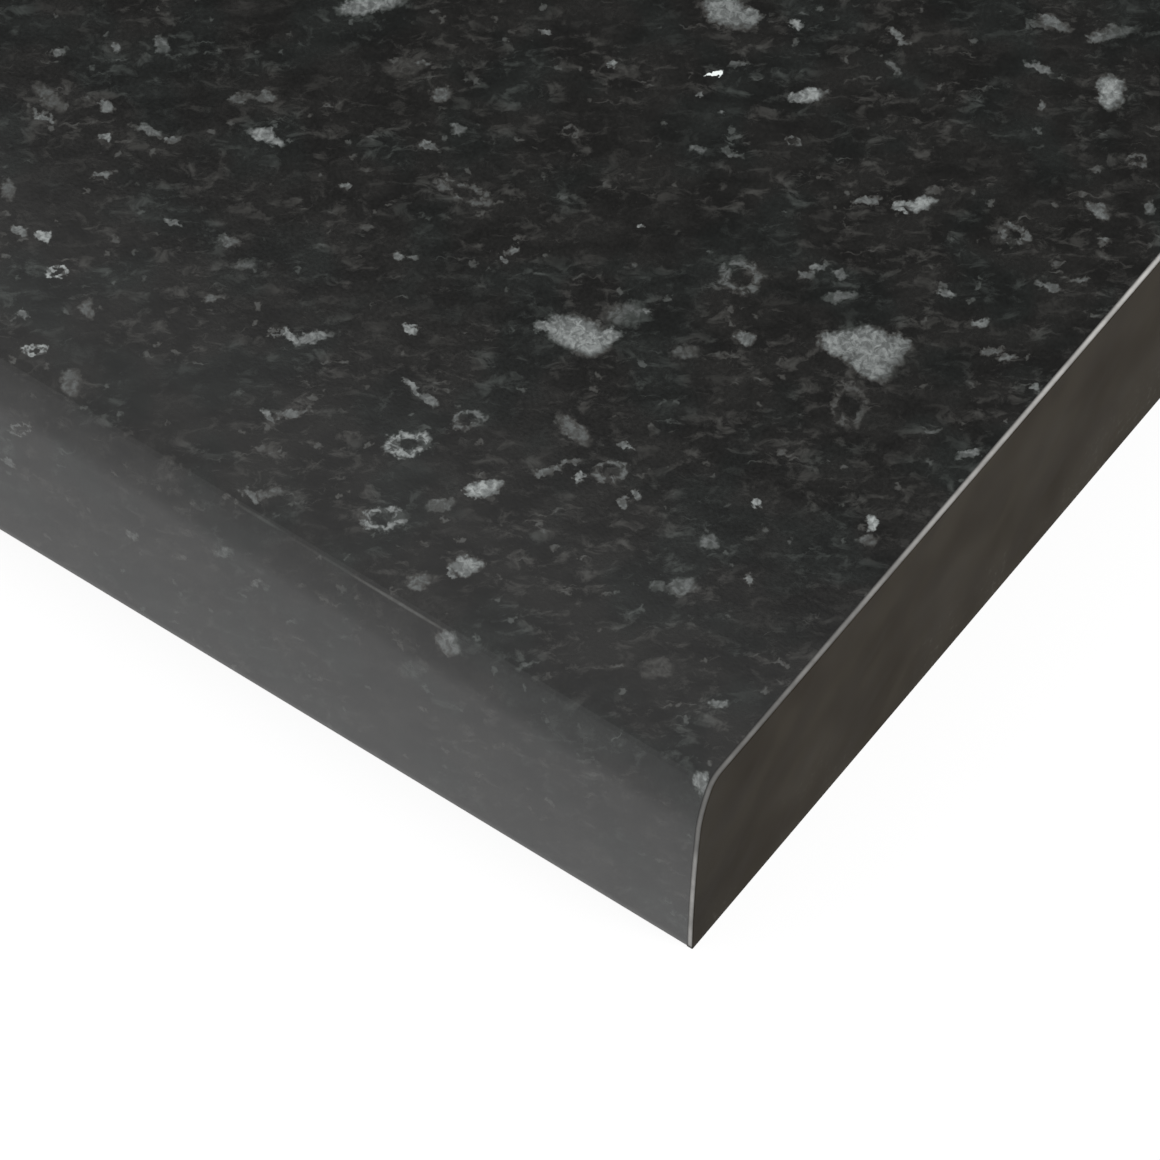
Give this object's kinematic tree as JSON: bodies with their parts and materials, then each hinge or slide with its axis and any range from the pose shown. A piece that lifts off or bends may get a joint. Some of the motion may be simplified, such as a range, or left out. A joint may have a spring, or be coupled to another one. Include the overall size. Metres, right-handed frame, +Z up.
{
  "type": "granite-effect worktop slab",
  "caption": "Flat laminate-faced worktop slab with a rounded front edge, black granite-effect surface and thin edging strips on its ends.",
  "frame": {"origin": "centre of the underside, on the plane that the slab rests on", "axes": "+X along the length, towards the right end; -Y towards the rounded front edge; +Z up, out of the work surface"},
  "size_m": [1.2, 0.6, 0.038],
  "materials": {
    "core": "raw chipboard",
    "decor": "satin printed laminate, black granite decor",
    "backing": "resin-soaked kraft paper",
    "edging": "matt dark brown-grey, paler cut edge",
    "sealant": "dark elastic sealant"
  },
  "bodies": {
    "root": {"core_board": "core", "top_laminate": "decor", "backing_sheet": "backing", "right_end_strip": "edging", "left_end_strip": "edging", "drip_seal": "sealant"}
  },
  "joints": []
}
